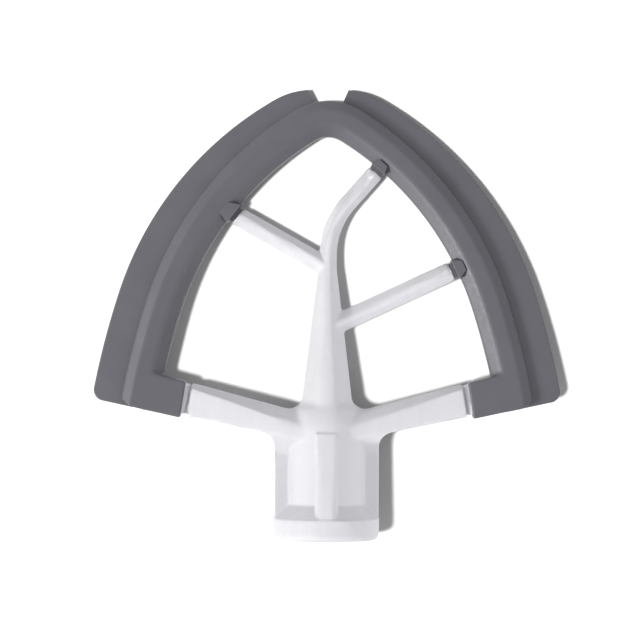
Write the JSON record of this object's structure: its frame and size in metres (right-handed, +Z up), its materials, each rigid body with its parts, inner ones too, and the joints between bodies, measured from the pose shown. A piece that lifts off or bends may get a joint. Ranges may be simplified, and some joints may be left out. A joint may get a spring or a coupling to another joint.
{
  "type": "stand mixer flat beater",
  "caption": "Arch-shaped flat beater with a stiff white frame of arms, spine and branches, a soft grey scraper edge over-moulded round its rim, and a bayonet drive socket.",
  "frame": {"origin": "middle of the drive socket's mouth", "axes": "+Y from the mouth towards the tip, along the table; +X across the beater; +Z up from the table it lies on. The beater's own plane dips 5.19 degrees towards the tip, because it rests on its collar and its tip."},
  "size_m": [0.1484, 0.1437, 0.0338],
  "materials": {
    "frame": "satin white moulded nylon",
    "flex_edge": "soft matt grey silicone"
  },
  "bodies": {
    "root": {"frame": "frame", "flex_edge": "flex_edge"}
  },
  "joints": []
}
